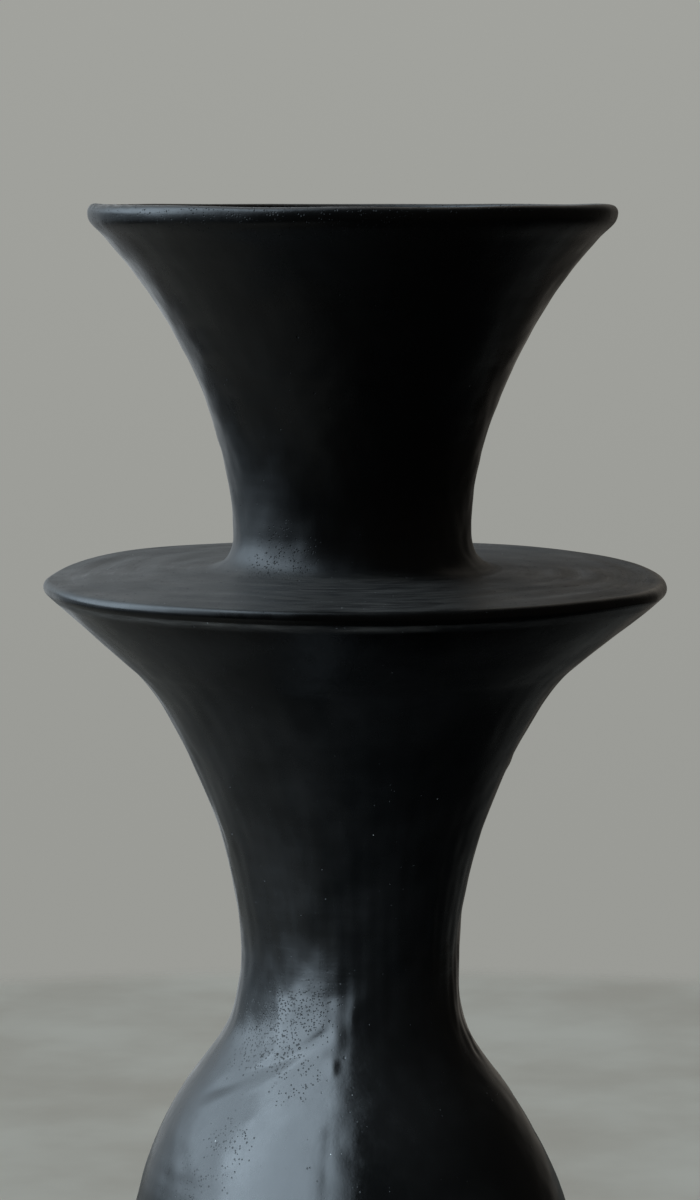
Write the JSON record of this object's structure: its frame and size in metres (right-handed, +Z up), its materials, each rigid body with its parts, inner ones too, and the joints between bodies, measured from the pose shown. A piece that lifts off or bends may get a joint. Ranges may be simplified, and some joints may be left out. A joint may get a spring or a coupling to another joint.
{
  "type": "black clay pot",
  "caption": "Black clay pot with a round belly, a waisted trumpet under a flat round plate, and a flared trumpet mouth above it, hollow throughout.",
  "frame": {"origin": "centre of the foot, on the surface it stands on", "axes": "+Z up along the pot's axis of revolution; X and Y are free"},
  "size_m": [0.2, 0.2, 0.41],
  "materials": {
    "burnished_clay": "reduction-fired black clay, burnished to a satin sheen with visible tool strokes",
    "plate_clay": "reduction-fired black clay, less burnished, with circular scraping marks and small pits",
    "raw_clay": "reduction-fired black clay, matte and unburnished"
  },
  "bodies": {
    "root": {"base_slab": "raw_clay", "body_bowl": "burnished_clay", "belly_coil": "raw_clay", "body_dome": "burnished_clay", "shoulder_coil": "raw_clay", "waist_collar": "burnished_clay", "lower_flare": "burnished_clay", "flare_brim": "burnished_clay", "corner_coil": "raw_clay", "plate": "plate_clay", "plate_edge_coil": "burnished_clay", "neck_coil": "burnished_clay", "upper_flare": "burnished_clay", "mouth_lip_coil": "burnished_clay"}
  },
  "joints": []
}
